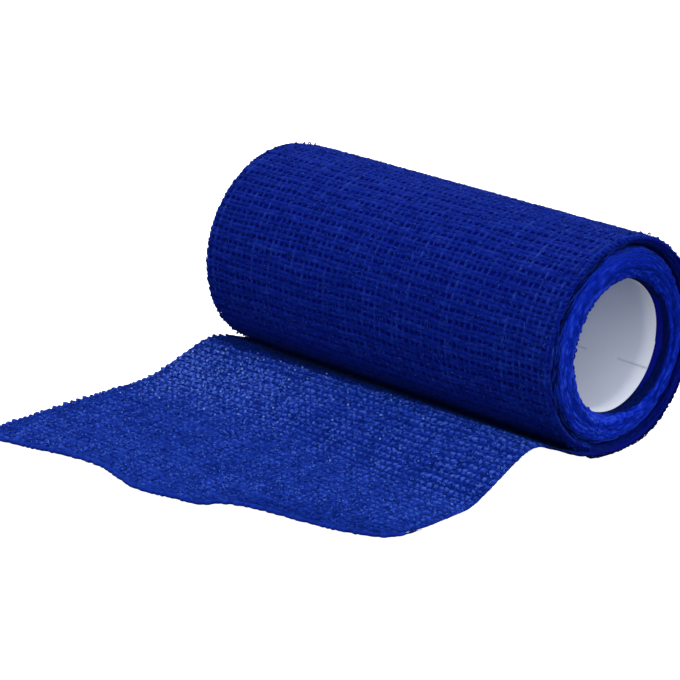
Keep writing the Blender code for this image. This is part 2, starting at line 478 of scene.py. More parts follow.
def cross_thread(row, length):
    """One crosswise thread of the outer turn."""
    inner = np.arange(0, ROLL_COLUMNS * CROSS_STEPS_PER_COLUMN + 1) / CROSS_STEPS_PER_COLUMN
    across = (inner - ROLL_COLUMNS / 2) * COLUMN_PITCH
    across = across[np.abs(across) < RIM_BEND_START - RIM_CLEAR]
    rim = np.linspace(RIM_BEND_START, RIM_BEND_END, RIM_BEND_POINTS)
    across = np.concatenate([-rim[::-1], across, rim])
    past_rim = ramp(np.abs(across), RIM_BEND_START, RIM_BEND_END - RIM_BEND_START)
    to_mate = (across < 0) == (row % 2 == 0)
    from_mate = -1 if row % 2 == 0 else 1
    reach = np.where(to_mate, PAIR_CLOSENESS, PAIR_CLOSENESS - PAIR_PITCH / 2) * -from_mate
    parted = PAIR_OPENING * (soft_noise(across / OPENING_SIZE, row // 2 * 3.1, 19) - 0.45) * from_mate
    sway = row_sway(across, length, ROLL_CREPE_SEED)
    swayed = length + sway + parted + reach * past_rim**2 * RIM_TURN_BACK
    thick = slubs(across / CROSS_SLUB + row * 7.3, row * 3.7, CROSS_THINNEST, 21)
    woven = WEAVE_RISE * np.cos(pi * (column_count_at(across) + row))
    rise = woven + crepe_rise(across, length, ROLL_RISE_SEED)
    tone = yarn_tone(CROSS_TONE, rise, CREPE_RISE, row)
    # Painted shade under the front of the roll.
    tone = tone - UNDER_SHADE * painted_shade_under_roll(turn_angle(length))
    sizes = yarn_size(CROSS_HALF_WIDTH, CROSS_HALF_HEIGHT, thick)
    return *on_outer_turn(across, swayed, THREAD_DEPTH - rise), *sizes, tone


def cloth_finish(name, deep, bright, tip, latex_and_highlight_at=0.56, mottled=0.46, contrast=0.14):
    """Matt crepe yarn: each thread a little lighter or deeper, with a fibrous mottle and painted light
    and shade from its tone, pale where it bears dry latex and with painted highlights, and painted
    shadow, nearly black, where the roll hides it from the light."""
    finish = Finish(bpy.data.materials.new(name))
    tone = finish.node("ShaderNodeAttribute", {"attribute_name": "tone_and_painted_light"}, {}, "Fac")
    mottle = finish.grain(2100.0, 2.0, 0.6)
    patch = finish.grain(110.0, 2.0)
    # The thread tone carries each thread's own tone and the painted light and shade set on the threads.
    lightness = mottled * mottle + 0.12 * patch + (0.88 - mottled) * tone
    dye_and_painted_shade = finish.mixed(
        finish.spread(lightness, 0.5 - contrast, 0.5 + contrast), (*deep, 1), (*bright, 1)
    )
    # Pale where latex has set on the yarn, and painted highlights where the tone is high.
    latex_and_highlight = finish.spread(0.6 * mottle + 0.4 * tone, latex_and_highlight_at, latex_and_highlight_at + LATEX_AND_HIGHLIGHT_SPAN)
    coated_and_highlit = finish.mixed(0.8 * latex_and_highlight, dye_and_painted_shade, (*tip, 1))
    # Painted shadow: a low tone mixes the colour towards nearly black.
    painted_shadow = finish.spread(tone, PAINTED_SHADOW_FROM, PAINTED_SHADOW_TO)
    finish.surface(
        Base_Color=finish.mixed(0.8 * painted_shadow, coated_and_highlit, (0.0001, 0.0004, 0.02, 1)),
        Roughness=0.9 - 0.3 * latex_and_highlight,
        Normal=finish.bumps(0.7, 0.00022, mottle),
        Specular_IOR_Level=0.16,
        Specular_Tint=(0.12, 0.40, 1.0, 1),
        Sheen_Weight=0.10,
        Sheen_Roughness=0.5,
        Sheen_Tint=(0.08, 0.35, 1.0, 1),
    )
    return finish


outer_turn_yarn = cloth_finish(
    "outer_turn_yarn",
    (0.0004, 0.0022, 0.175),
    (0.0028, 0.015, 0.365),
    (0.040, 0.110, 0.60),
    mottled=0.62,
    contrast=0.125,
)


def halves(count, first, second):
    """The two halves of a set of rows, by name."""
    middle = count // 2
    return (first, range(middle)), (second, range(middle, count))


for part, rows in halves(len(ROLL_ROWS), "lower", "upper"):
    threads = [cross_thread(row, ROLL_ROWS[row]) for row in rows]
    add_threads("crosswise_threads_" + part, threads, 5, True, outer_turn_yarn)


# The lengthwise threads of the outer turn. They are tightly twisted crepe yarns that give the
# bandage its stretch, and they run round the roll, under and over the crosswise threads.
LONG_HALF_WIDTH = 0.00036
LONG_HALF_HEIGHT = 0.00023
LONG_STEPS_PER_ROW = 2
LONG_WANDER = 0.00046
LONG_WANDER_SIZE = 0.005
LONG_SLUB = 0.0013
LONG_THINNEST = 0.62
# Each tone triple's second entry is painted light and shade by the rise.
LONG_TONE = (0.58, 0.22, 0.15)


def long_thread(column):
    """One lengthwise thread, all the way round the roll."""
    counts = np.arange(0, len(ROLL_ROWS) * LONG_STEPS_PER_ROW + 1) / LONG_STEPS_PER_ROW - 0.5
    length = np.interp(counts, np.arange(len(ROLL_ROWS)), ROLL_ROWS)
    length[0] = 0.0
    length[-1] = OUTER_TURN_LENGTH
    across = (column - (ROLL_COLUMNS - 1) / 2) * COLUMN_PITCH
    across = np.clip(across, -RIM_BEND_START, RIM_BEND_START)
    across = across + LONG_WANDER * (soft_noise(column * 5.3, length / LONG_WANDER_SIZE, 31) - 0.5)
    thick = slubs(column * 2.9, length / LONG_SLUB, LONG_THINNEST, 33)
    woven = WEAVE_RISE * np.cos(pi * (column + counts))
    rise = crepe_rise(across, length, ROLL_RISE_SEED) - woven
    swayed = np.clip(length + row_sway(across, length, ROLL_CREPE_SEED), 0, OUTER_TURN_LENGTH)
    points, out, onward = on_outer_turn(across, swayed, THREAD_DEPTH - rise)
    tone = yarn_tone(LONG_TONE, rise, CREPE_RISE, 500 + column)
    # Painted shade under the front of the roll.
    tone = tone - UNDER_SHADE * painted_shade_under_roll(turn_angle(length))
    sizes = yarn_size(LONG_HALF_WIDTH, LONG_HALF_HEIGHT, thick)
    return points, out, np.cross(onward, out), *sizes, tone


long_threads = [long_thread(column) for column in range(ROLL_COLUMNS)]
add_threads("lengthwise_threads", long_threads, 5, True, outer_turn_yarn)


# The nap of the outer turn: fine cotton fibres that have worked out of the yarns. Each lies along
# the cloth, mostly the way of one set of threads, with both of its ends still held in the weave.
NAP_FIBRES = 13000
NAP_HALF_WIDTH = 0.00010
NAP_REACH = (0.0004, 0.0013)
NAP_POINTS = 3
NAP_HALF_SPAN = 0.0502
NAP_END_GAP = 0.0015
NAP_LEAN = 0.25
NAP_BOW = 0.00009
NAP_LIFT = (0.00010, 0.00034)
NAP_CLEAR = 0.0001
FIBRE_TIP = 0.35
FIBRE_WIDTHS = (0.7, 1.4)
NAP_IN_LIGHT = 0.02


def unit(vectors):
    return vectors / np.linalg.norm(vectors, axis=-1, keepdims=True)


def fibre_threads(placed, half_width, seed, lowest_tone=0.0, lighter=0.0):
    """Fibres thinner at both ends. placed is (points, outward, lengthwise directions) on the cloth,
    one row for each fibre."""
    draw = default_rng(seed)
    points, out, _ = placed
    side = np.cross(unit(np.gradient(points, axis=1)), out)
    # lighter adds painted light and shade to the fibres' tones.
    tones = draw.uniform(lowest_tone, 1.0, len(points)) + lighter
    taper = np.ones(points.shape[1])
    taper[[0, -1]] = FIBRE_TIP
    widths = (half_width * draw.uniform(*FIBRE_WIDTHS, len(points)))[:, None] * taper
    return list(zip(points, out, side, widths, widths, tones))


def strewn(count, half_span, last_length, reaches, seed):
    """(across, length, lift) of fibres strewn over a cloth, one row each."""
    draw = default_rng(seed)
    start_across = draw.uniform(-half_span, half_span, count)[:, None]
    start_length = draw.uniform(NAP_END_GAP, last_length - NAP_END_GAP, count)[:, None]
    way = np.where(draw.random(count) < 0.5, 0.0, pi / 2) + draw.normal(0, NAP_LEAN, count)
    reach = draw.uniform(*reaches, count)[:, None]
    bow = draw.normal(0, NAP_BOW, count)[:, None]
    run = np.linspace(-0.5, 0.5, NAP_POINTS)[None]
    arch = 1 - 4 * run * run
    across = start_across + reach * run * np.cos(way)[:, None] - bow * arch * np.sin(way)[:, None]
    length = start_length + reach * run * np.sin(way)[:, None] + bow * arch * np.cos(way)[:, None]
    lift = draw.uniform(*NAP_LIFT, count)[:, None] * (0.3 + 0.7 * arch)
    return across, np.clip(length, 0, last_length), lift


nap_yarn = cloth_finish(
    "nap_yarn", (0.0008, 0.005, 0.18), (0.0085, 0.032, 0.42), (0.050, 0.11, 0.66), contrast=0.12
)
across, length, lift = strewn(NAP_FIBRES, NAP_HALF_SPAN, OUTER_TURN_LENGTH, NAP_REACH, 35)
in_light = painted_shade_under_roll(turn_angle(length.mean(axis=1))) < NAP_IN_LIGHT
across, length, lift = across[in_light], length[in_light], lift[in_light]
placed = on_outer_turn(across, length, THREAD_DEPTH - lift - NAP_CLEAR)
add_threads("roll_nap", fibre_threads(placed, NAP_HALF_WIDTH, 36), 3, False, nap_yarn)


# The end faces. Each turn's selvedge shows as a narrow ring of soft yarn loops, pressed together
# into a cushion between the bore and the groove behind the rim, and the outer turn's own selvedge
# makes the rim. They are the wound cloth's own edges, with nothing fixed to them.
FACE_PITCH = 0.00046
FACE_STEP = 0.0004
FACE_HALF_WIDTH = 0.00034
FACE_HALF_HEIGHT = 0.00030
FACE_SPOKES = 240
FACE_ROUNDS = 18
FACE_STRAY = 0.00045
FACE_LOOSE_LIFT = 0.00042
FACE_WAVE_LIFT = 0.0004
FACE_TONE = 0.32
# Loops that stand out are painted lighter: painted light.
FACE_PAINTED_LIGHT_BY_LIFT = 0.4
FACE_TONE_BY_TURN = 0.25
CUSHION_START = 0.0004
RIM_START = 0.0002
FACE_FIBRES = 900
FACE_FIBRE_POINTS = 6
FIBRES_FROM = 0.0055
FIBRES_END_GAP = 0.0020
FIBRES_RADIUS = 0.018
FACE_FIBRE_HALF_WIDTH = 0.00006
FACE_FIBRE_TONE = 0.45
FACE_FIBRE_REACH = (0.0008, 0.0050)
FACE_FIBRE_DRIFT = 0.0005
FACE_FIBRE_LIFT = (0.00030, 0.00060)
LOOP_POINTS = 7
LOOP_LEAN = 0.0002
SEAM_GAP = 0.06
MOUTH_SHIFT = 0.0011
MOUTH_WALL = 0.0027
WALL_DEEPER = 0.0028
WALL_TURN = radians(-30)
MOUTH_DROP = 0.0007
MOUTH_EDGE = 0.0200
MOUTH_REACH = 0.0051
MOUTH_DEPTH = 0.0045
MOUTH_FADE = 0.002
RIM_WALL = 0.0022
WALL_FADE = 0.0008
GROOVE_FROM = 0.0098
GROOVE_WIDER = 0.0016
# Painted shade on the mouth's wall, deeper towards its back, and in the groove behind the rim;
# FACE_SHADING paints the face lighter towards FACE_BRIGHT_AT round the roll.
WALL_SHADE = 0.8
FACE_SHADING = 0.13
FACE_BRIGHT_AT = radians(60)
LOOPS_GROW_OVER = 0.8
NO_GROOVE = 1.0
MOUTH_LOOPS, RIM_LOOPS = table(
    "places radius count width height half_width",
    ((0.0036, 0.0048), 0.015, 84, 0.0013, 0.00050, 0.00024),
    ((0.0006, 0.0018), 0.0238, 150, 0.0010, 0.00070, 0.00015),
)

CUSHION = table(
    "radius depth follows",
    (0.0149, 0.0050, 0.0),
    (0.0149, 0.0026, 0.0),
    (0.0151, 0.0014, 0.0),
    (0.0156, 0.0006, 0.0),
    (0.0163, 0.0002, 0.0),
    (0.0180, 0.0000, 0.0),
    (0.0194, 0.0003, 0.0),
    (0.0204, 0.0010, 0.1),
    (0.0210, 0.0022, 0.2),
    (0.0213, 0.0038, 0.4),
)
RIM = table(
    "radius depth follows",
    (0.0224, 0.0026, 1.0),
    (0.0227, 0.0012, 1.0),
    (0.0232, 0.0004, 1.0),
    (0.0237, 0.0003, 1.0),
)
RIM_TOP = table(
    "radius depth follows",
    (0.0232, 0.0004, 1.0),
    (0.0237, 0.0003, 1.0),
    (0.0241, 0.0008, 1.0),
    (0.0243, 0.0016, 1.0),
)


def along_profile(profile):
    """A profile's columns, and the length along it to each of its points from the bore outwards."""
    columns = np.array(profile).T
    return columns, np.concatenate([[0], np.cumsum(np.hypot(*np.diff(columns[:2])))])


def on_face(profile, side_sign, place, travelled, lift):
    """(points, outward, onward directions) on an end's profile, this far along it."""
    place, travelled, lift = np.broadcast_arrays(place, travelled, lift)
    columns, lengths = along_profile(profile)
    radius, depth, follows = (np.interp(place, lengths, column) for column in columns)
    growth, sink = (
        np.interp(place + FACE_STEP, lengths, column) - np.interp(place - FACE_STEP, lengths, column)
        for column in columns[:2]
    )
    size = np.hypot(growth, sink)
    growth, sink = growth / size, sink / size
    angle = PEEL_ANGLE - travelled
    radial, onward = round_the_roll(angle)
    x = side_sign * (BANDAGE_WIDTH / 2 - depth + lift * growth)
    bulge = MOUTH_SHIFT * np.sin(angle) + MOUTH_DROP * np.clip(-np.cos(angle), 0, 1)
    bulge = bulge * ramp(radius, MOUTH_EDGE, -MOUTH_REACH) * ramp(depth, MOUTH_DEPTH, -MOUTH_FADE)
    out = radial * sink[..., None] + np.array([side_sign, 0.0, 0.0]) * growth[..., None]
    outwards = radius - turn_fall(travelled) * follows + lift * sink - bulge
    return on_roll(x, travelled, outwards), out, onward


def facing_back(travelled):
    """1 at the back of the mouth, where its wall faces forward, and 0 from there to its front."""
    return np.clip(-np.sin(PEEL_ANGLE - travelled + WALL_TURN), 0, 1)


def face_rings(profile, side_sign, first_place, wall_to, groove_from, seed):
    """The selvedges on one profile: one ring for each turn, and each goes on in the next."""
    last = along_profile(profile)[1][-1]
    travelled = np.linspace(0, 2 * pi, FACE_SPOKES + 1)
    rings = []
    for ring in range(int((last - first_place) / FACE_PITCH)):
        turns = ring + travelled / (2 * pi)
        rounds = travelled * FACE_ROUNDS
        stray = soft_noise(rounds / 2.2 + ring * 7.7, turns * 1.3, seed) - 0.5
        place = first_place + FACE_PITCH * turns + FACE_STRAY * stray
        loose = soft_noise(rounds / 0.9 + ring * 4.1, turns * 1.9, seed + 1)
        wide = soft_noise(travelled * 3, turns / 4, seed + 2) - 0.5
        lift = FACE_LOOSE_LIFT * (loose - 0.5) + FACE_WAVE_LIFT * wide
        points, out, onward = on_face(profile, side_sign, place, travelled, lift)
        thick = 0.75 + 0.6 * soft_noise(rounds / 0.7 + ring * 2.3, turns * 2.1, seed + 3)
        by_turn = FACE_TONE_BY_TURN * default_rng(seed + ring).random()
        # Painted light and shade: loops that stand out are painted lighter, the face is painted lighter
        # towards its lower front and darker away from it, and painted shade darkens the mouth's wall and
        # the groove behind the rim.
        tone = FACE_TONE + FACE_PAINTED_LIGHT_BY_LIFT * loose + by_turn
        tone = tone + FACE_SHADING * np.cos(PEEL_ANGLE - travelled - FACE_BRIGHT_AT)
        wall_deep = wall_to + WALL_DEEPER * facing_back(travelled) - place
        in_groove = place - groove_from + GROOVE_WIDER * np.clip(np.sin(PEEL_ANGLE - travelled), 0, 1)
        tone = tone - WALL_SHADE * ramp(np.maximum(wall_deep, in_groove), 0, WALL_FADE)
        sizes = FACE_HALF_WIDTH * thick, FACE_HALF_HEIGHT * thick
        rings.append((points, out, np.cross(onward, out), *sizes, tone))
    return rings


def face_fibres(profile, side_sign, count, seed):
    """Fibres that lie round the face, across several selvedges."""
    draw = default_rng(seed)
    last = along_profile(profile)[1][-1]
    place = draw.uniform(FIBRES_FROM, last - FIBRES_END_GAP, count)[:, None]
    reach = draw.uniform(*FACE_FIBRE_REACH, count)[:, None] / FIBRES_RADIUS
    start = reach / 2 + (2 * pi - reach) * draw.random(count)[:, None]
    run = np.linspace(-0.5, 0.5, FACE_FIBRE_POINTS)[None]
    place = place + draw.normal(0, FACE_FIBRE_DRIFT, count)[:, None] * run
    lift = draw.uniform(*FACE_FIBRE_LIFT, count)[:, None] * (1.1 - 2.6 * run * run)
    placed = on_face(profile, side_sign, place, start + reach * run, lift)
    return fibre_threads(placed, FACE_FIBRE_HALF_WIDTH, seed, FACE_FIBRE_TONE)


def loops_on(profile, side_sign, kind, seed):
    """Small thread loops that stand off a profile, side by side round the roll."""
    draw = default_rng(seed)
    loops = []
    run = np.linspace(0, 1, LOOP_POINTS)
    for number in range(kind.count):
        start = SEAM_GAP + 2 * (pi - SEAM_GAP) * (number + draw.uniform(0.0, 0.8)) / kind.count
        place = draw.uniform(*kind.places)
        travelled = start + draw.uniform(0.7, 1.3) * kind.width * (run - 0.5) / kind.radius
        if profile is CUSHION and facing_back(start) > 0:
            continue
        grown = np.clip(start / LOOPS_GROW_OVER, 0.1, 1)
        lift = grown * draw.uniform(0.5, 1.2) * kind.height * np.sin(pi * run)
        lean = draw.normal(0, LOOP_LEAN) * np.sin(pi * run)
        points, out, _ = on_face(profile, side_sign, place + lean, travelled, lift)
        forward = unit(np.gradient(points, axis=0))
        side = unit(np.cross(forward, out))
        size = np.full(len(run), kind.half_width * draw.uniform(0.8, 1.25))
        loops.append((points, np.cross(side, forward), side, size, size, draw.uniform(0.35, 0.8)))
    return loops


face_yarn = cloth_finish(
    "face_yarn", (0.0004, 0.0020, 0.085), (0.0034, 0.029, 0.86), (0.050, 0.14, 0.88), 0.59
)
for name, side_sign, seed in (("right", 1, 41), ("left", -1, 141)):
    strands = face_rings(CUSHION, side_sign, CUSHION_START, MOUTH_WALL, GROOVE_FROM, seed)
    add_threads("turns_" + name, strands, 5, True, face_yarn)
    nap = face_fibres(CUSHION, side_sign, FACE_FIBRES, seed + 40)
    nap += loops_on(CUSHION, side_sign, MOUTH_LOOPS, seed + 42)
    add_threads("nap_" + name, nap, 3, False, face_yarn)
    rim_threads = face_rings(RIM, side_sign, RIM_START, RIM_WALL, NO_GROOVE, seed + 20)
    rim_threads += loops_on(RIM_TOP, side_sign, RIM_LOOPS, seed + 43)
    add_threads("rim_" + name, rim_threads, 4, False, outer_turn_yarn)


# The label: a strip of white paper, rolled up in the bore with its end lapped over its start. It is
# bare, and it springs out against the cloth, which holds it.
LABEL_RADIUS = 0.0143
LABEL_HALF_LENGTH = 0.0478
LABEL_LAP = radians(24)
LABEL_LAP_RISE = 0.00012
LABEL_LAP_AT = radians(78.5)
LABEL_WAVE = 0.00025
LABEL_STEPS_ROUND = 150
LABEL_STEPS_ACROSS = 25
PAPER_THICKNESS = 0.00012


def make_label():
    travelled = np.linspace(0, 2 * pi + LABEL_LAP, LABEL_STEPS_ROUND)
    across = np.linspace(-LABEL_HALF_LENGTH, LABEL_HALF_LENGTH, LABEL_STEPS_ACROSS)
    rise = LABEL_LAP_RISE * travelled / (2 * pi)
    wave = LABEL_WAVE * (soft_noise(across[None] / 0.012, travelled[:, None] * 2, 61) - 0.5)
    radius = LABEL_RADIUS - LABEL_LAP_RISE + rise[:, None] + wave
    points = on_roll(across[None], travelled[:, None] + LABEL_LAP_AT, radius)
    label = add_piece("core_paper", points, grid_quads(len(travelled), len(across)))
    thickness = label.modifiers.new("paper", "SOLIDIFY")
    thickness.thickness = PAPER_THICKNESS
    thickness.offset = 0.0
    return label


paper = Finish(bpy.data.materials.new("paper"))
paper_fibres = paper.grain(700.0, 4.0)
paper_cloud = 0.6 * paper_fibres + 0.4 * paper.grain(60.0, 2.0)
paper.surface(
    Base_Color=paper.mixed(paper_cloud, (0.71, 0.76, 0.90, 1), (0.79, 0.84, 0.96, 1)),
    Roughness=0.45 + 0.2 * paper_fibres,
    Normal=paper.bumps(0.15, 0.0001, paper_fibres),
)
label = make_label()
wear(label, paper)
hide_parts("core_label")


# The loose end: the same cloth in one layer. Between the threads it is a thin web of fibres stuck
# together with latex, which closes the weave's openings. It peels off the underside of the roll,
# rises in a crest, and lies on the surface to its cut end.
LOOSE_HALF_WIDTH = 0.0504
LOOSE_PAIRS = 48
LOOSE_COLUMN_PITCH = 0.001705
LOOSE_COLUMN_CHANGE = 0.00000302
CLOTH_MIDDLE = 0.00090
LOOSE_SHIFT = -0.0006
SHIFTED_BY = 0.010
LEFT_SPREAD = 0.0007
SPREAD_FROM = 0.030
SPREAD_SPAN = 0.03
PRESSED_REACH = 0.006
CREST_ROUNDING = 0.004
LANDING_ROUNDING = 0.0012
CUT_LIFT_REACH = 0.014
PEEL_MIDDLE_DEPTH = 0.0005
PEEL_CLEAR_ANGLE = 0.024
LOOSE_TABLE_STEPS = 220
LOOSE_STEP = 0.0002
LOWEST_CLOTH = 0.00005
# Where the painted shade behind the crest ends, how softly it fades, and how dark it is.
CREST_LENGTH = 0.0142
CREST_SHADE_SPAN = 0.004
CREST_SHADE = 2.2
WEB_COLUMN_EDGE = 0.42
WEB_ROW_EDGE = 0.09
WEB_EDGE = 0.0502
WEB_JITTER = 0.00006
LOOSE_CREPE_SEED = 73

LOOSE_WEAVE = table("pairs length", (0, 0.0), (10, 0.0196), (20, 0.0376), (30, 0.0542), (48, 0.0830))

FOLDS = table(
    "x slope landing_y",
    (-LOOSE_HALF_WIDTH, 0.300, -0.0400),
    (-0.0250, 0.345, -0.0409),
    (0.0000, 0.390, -0.0420),
    (0.0250, 0.430, -0.0435),
    (LOOSE_HALF_WIDTH, 0.466, -0.0448),
)

CUT_POINTS = table(
    "x y lift",
    (-LOOSE_HALF_WIDTH, -0.0884, 0.0),
    (-0.0450, -0.0871, 0.0),
    (-0.0359, -0.0847, 0.0),
    (-0.0257, -0.0820, 0.0),
    (-0.0185, -0.0816, 0.0001),
    (-0.0120, -0.0830, 0.0),
    (-0.0050, -0.0842, 0.0),
    (0.0030, -0.0824, 0.0),
    (0.0095, -0.0808, 0.0),
    (0.0135, -0.0781, 0.0006),
    (0.0180, -0.0759, 0.0006),
    (0.0240, -0.0738, 0.0002),
    (0.0320, -0.0720, 0.0),
    (0.0400, -0.0700, 0.0),
    (0.0452, -0.0678, 0.0),
    (0.0482, -0.0652, 0.0),
    (0.0497, -0.0620, 0.0),
    (LOOSE_HALF_WIDTH, -0.0580, 0.0),
)


def read_across(rows, column, x):
    """A column's value at each x, on a smooth curve through the table's rows."""
    known = np.array([row.x for row in rows])
    values = np.array([getattr(row, column) for row in rows])
    before = np.clip(np.arange(len(known)) - 1, 0, None)
    after = np.clip(np.arange(len(known)) + 1, None, len(known) - 1)
    slopes = (values[after] - values[before]) / (known[after] - known[before])
    x = np.clip(x, known[0], known[-1])
    left = np.clip(np.searchsorted(known, x, side="right") - 1, 0, len(known) - 2)
    span = known[left + 1] - known[left]
    share = (x - known[left]) / span
    leaving = slopes[left] * span * share * (1 - share) ** 2
    arriving = slopes[left + 1] * span * share * share * (share - 1)
    return values[left] + (values[left + 1] - values[left]) * eased(share) + leaving + arriving


def peel_start():
    """(angle, y, z) where the cloth's middle leaves the roll."""
    angle = PEEL_ANGLE + PEEL_CLEAR_ANGLE
    radius = OUTER_RADIUS - PEEL_MIDDLE_DEPTH
    return angle, -radius * sin(angle), AXIS_HEIGHT - radius * cos(angle)


def loose_height(x, y):
    """Height of the cloth's middle over the surface."""
    angle, start_y, start_z = peel_start()
    rising = start_z + (start_y - y) * sin(angle) / cos(angle)
    falling = CLOTH_MIDDLE + read_across(FOLDS, "slope", x) * (y - read_across(FOLDS, "landing_y", x))
    front = rounded_max(falling, CLOTH_MIDDLE, LANDING_ROUNDING)
    height = -rounded_max(-rising, -front, CREST_ROUNDING)
    on_roll_yet = 1 - ramp(start_y - y, 0, PRESSED_REACH)
    height = height + pressed(angle) * cos(angle) * on_roll_yet**2
    from_cut = y - read_across(CUT_POINTS, "y", x)
    near_cut = np.clip(1.0 - from_cut / CUT_LIFT_REACH, 0, None)
    return height + read_across(CUT_POINTS, "lift", x) * near_cut * near_cut


def loose_paths(x):
    """(y, length from the peel line) along the cloth at each x."""
    start_y = peel_start()[1]
    to_cut = read_across(CUT_POINTS, "y", x) - start_y
    y = start_y + to_cut[:, None] * np.linspace(0, 1, LOOSE_TABLE_STEPS)
    z = loose_height(x[:, None], y)
    length = np.hypot(np.diff(y, axis=1), np.diff(z, axis=1)).cumsum(axis=1)
    return y, np.concatenate([np.zeros((len(x), 1)), length], axis=1)


def on_loose_end(x, length, lift):
    """(points, outward, lengthwise directions) on the loose end, at a height over its middle."""
    x, length, lift = (np.array(value, float) for value in np.broadcast_arrays(x, length, lift))
    shape = x.shape
    flat_x, flat_length, flat_lift = x.ravel(), length.ravel(), lift.ravel()
    paths_y, paths_length = loose_paths(flat_x)
    y = np.array(
        [np.interp(s, known, values) for s, known, values in zip(flat_length, paths_length, paths_y)]
    )
    step = LOOSE_STEP
    z = loose_height(flat_x, y)
    slope_y = (loose_height(flat_x, y + step) - loose_height(flat_x, y - step)) / (2 * step)
    slope_x = (loose_height(flat_x + step, y) - loose_height(flat_x - step, y)) / (2 * step)
    out = unit(np.stack([-slope_x, -slope_y, np.ones_like(y)], axis=-1))
    onward = unit(np.stack([np.zeros_like(y), -np.ones_like(y), -slope_y], axis=-1))
    shift = LOOSE_SHIFT * ramp(flat_length, 0, SHIFTED_BY)
    at_left = ramp(-flat_x, 0, BANDAGE_WIDTH / 2)
    spread = LEFT_SPREAD * at_left * ramp(flat_length, SPREAD_FROM, SPREAD_SPAN)
    points = np.stack([flat_x + shift - spread, y, z], axis=-1) + out * flat_lift[:, None]
    points[:, 2] = np.maximum(points[:, 2], LOWEST_CLOTH)
    return points.reshape(*shape, 3), out.reshape(*shape, 3), onward.reshape(*shape, 3)


def cut_length(x):
    """Length of cloth from the peel line to the cut at each x."""
    return loose_paths(np.atleast_1d(np.asarray(x, float)))[1][:, -1]


def loose_row_at(pairs):
    """Length of cloth from the peel line to this many pairs of crosswise threads. The crepe draws
    them closer together where the cloth lies flat."""
    counts, lengths = np.array(LOOSE_WEAVE).T
    return np.interp(pairs, counts, lengths)


def loose_column_at(count):
    """Where this lengthwise thread lies across the cloth. They are closest at the right selvedge."""
    middle = (ROLL_COLUMNS - 1) / 2
    from_middle = count - middle
    return LOOSE_COLUMN_PITCH * from_middle + LOOSE_COLUMN_CHANGE * (middle**2 - from_middle**2)


def painted_shade_behind_crest(across, length):
    """Painted shade in the hollow between the roll and the crest: 0 from the crest on, and less at the
    left, where it is open to the light."""
    in_hollow = ramp(length, CREST_LENGTH, -CREST_SHADE_SPAN)
    return CREST_SHADE * in_hollow * np.interp(across, [-0.050, -0.030], [0.25, 1.0])


def make_web():
    """The thin web, with a grid line on each side of every thread."""
    column_edges = np.array([-WEB_COLUMN_EDGE, WEB_COLUMN_EDGE])
    x = loose_column_at((np.arange(ROLL_COLUMNS)[:, None] + column_edges).ravel())
    x = np.concatenate([[-LOOSE_HALF_WIDTH], np.clip(x, -WEB_EDGE, WEB_EDGE), [LOOSE_HALF_WIDTH]])
    row_edges = np.array([WEB_ROW_EDGE, 1 - WEB_ROW_EDGE])
    rows = loose_row_at((np.arange(LOOSE_PAIRS)[:, None] + row_edges).ravel())
    rows = np.concatenate([[0], rows])
    x_grid, row_grid = np.meshgrid(x, rows, indexing="ij")
    jitter = default_rng(71).normal(0, WEB_JITTER, (2, *x_grid.shape))
    inside = (np.abs(x_grid) < LOOSE_HALF_WIDTH) & (row_grid > 0)
    x_grid = x_grid + jitter[0] * inside
    sway = row_sway(x_grid, row_grid, LOOSE_CREPE_SEED)
    row_grid = row_grid + jitter[1] * inside + sway * inside
    last = cut_length(x_grid.ravel()).reshape(x_grid.shape)
    quads = grid_quads(len(x), len(rows))
    gone = (row_grid >= last).ravel()[quads].all(axis=1)
    row_grid = np.minimum(row_grid, last)
    points = on_loose_end(x_grid, row_grid, 0.0)[0]
    # Painted shade behind the crest darkens the web's tones.
    tones = 0.5 - painted_shade_behind_crest(x_grid, row_grid).ravel()
    return add_piece("loose_web", points, quads[~gone], tones=tones)


web_cloth = cloth_finish("web_cloth", (0.0004, 0.0030, 0.11), (0.0016, 0.013, 0.28), (0.008, 0.04, 0.45))
web = make_web()
wear(web, web_cloth)
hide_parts("loose_end")


# The loose end's threads: the same two sets of yarns, drawn closer together lengthwise now that
# nothing stretches them, so that they stand up in small soft bumps where they cross. They stop at
# the cut, and the selvedges' turned-back loops bunch up where the outer turn leaves the roll.
LOOSE_CLOSENESS = 0.00041
LOOSE_RISE = 0.00027
LOOSE_CREPE = 0.9
LOOSE_CROSS_HALF_WIDTH = 0.00034
LOOSE_LONG_HALF_WIDTH = 0.00043
LOOSE_HALF_HEIGHT = 0.00026
SELVEDGE_LOOP = 0.00036
LOOP_LIFT = 0.00020
LOOP_STARTS = 0.0002
PEBBLE = 0.42
CROSS_LIES_AT = -0.50
PEBBLE_STRAY = 0.16
LOOSE_STRAY = 0.0009
STRAY_SIZE = (0.0011, 0.0012)
LOOSE_WANDER = 0.00060
LOOSE_WANDER_SIZE = 0.003
LOOSE_CROSS_SLUB = 0.0016
LOOSE_CROSS_THINNEST = 0.75
# Each tone triple's second entry is painted light and shade by the rise.
LOOSE_CROSS_TONE = (0.56, 0.25, 0.20)
LOOSE_LONG_SLUB = 0.0009
LOOSE_LONG_TONE = (0.51, 0.28, 0.20)
LOOSE_RISE_SEED = 75
CUT_CLEAR = 0.0003
THREAD_END = 0.3
SHORTEST_STRETCH = 4
ROOT_FROM = 0.22
ROOT_IN_ROLL = 0.0494
ROOT_ON_CLOTH = 0.0497
ROOT_DEPTH = 0.0008
ROOT_CLOTH_START = 0.0010
ROOT_LENGTH = 0.0080
ROOT_HALF_WIDTH = 0.0007
ROOT_HALF_HEIGHT = 0.00048
ROOT_LIFT = 0.0002
ROOT_POINTS = 9
ROOT_TONE = 0.1
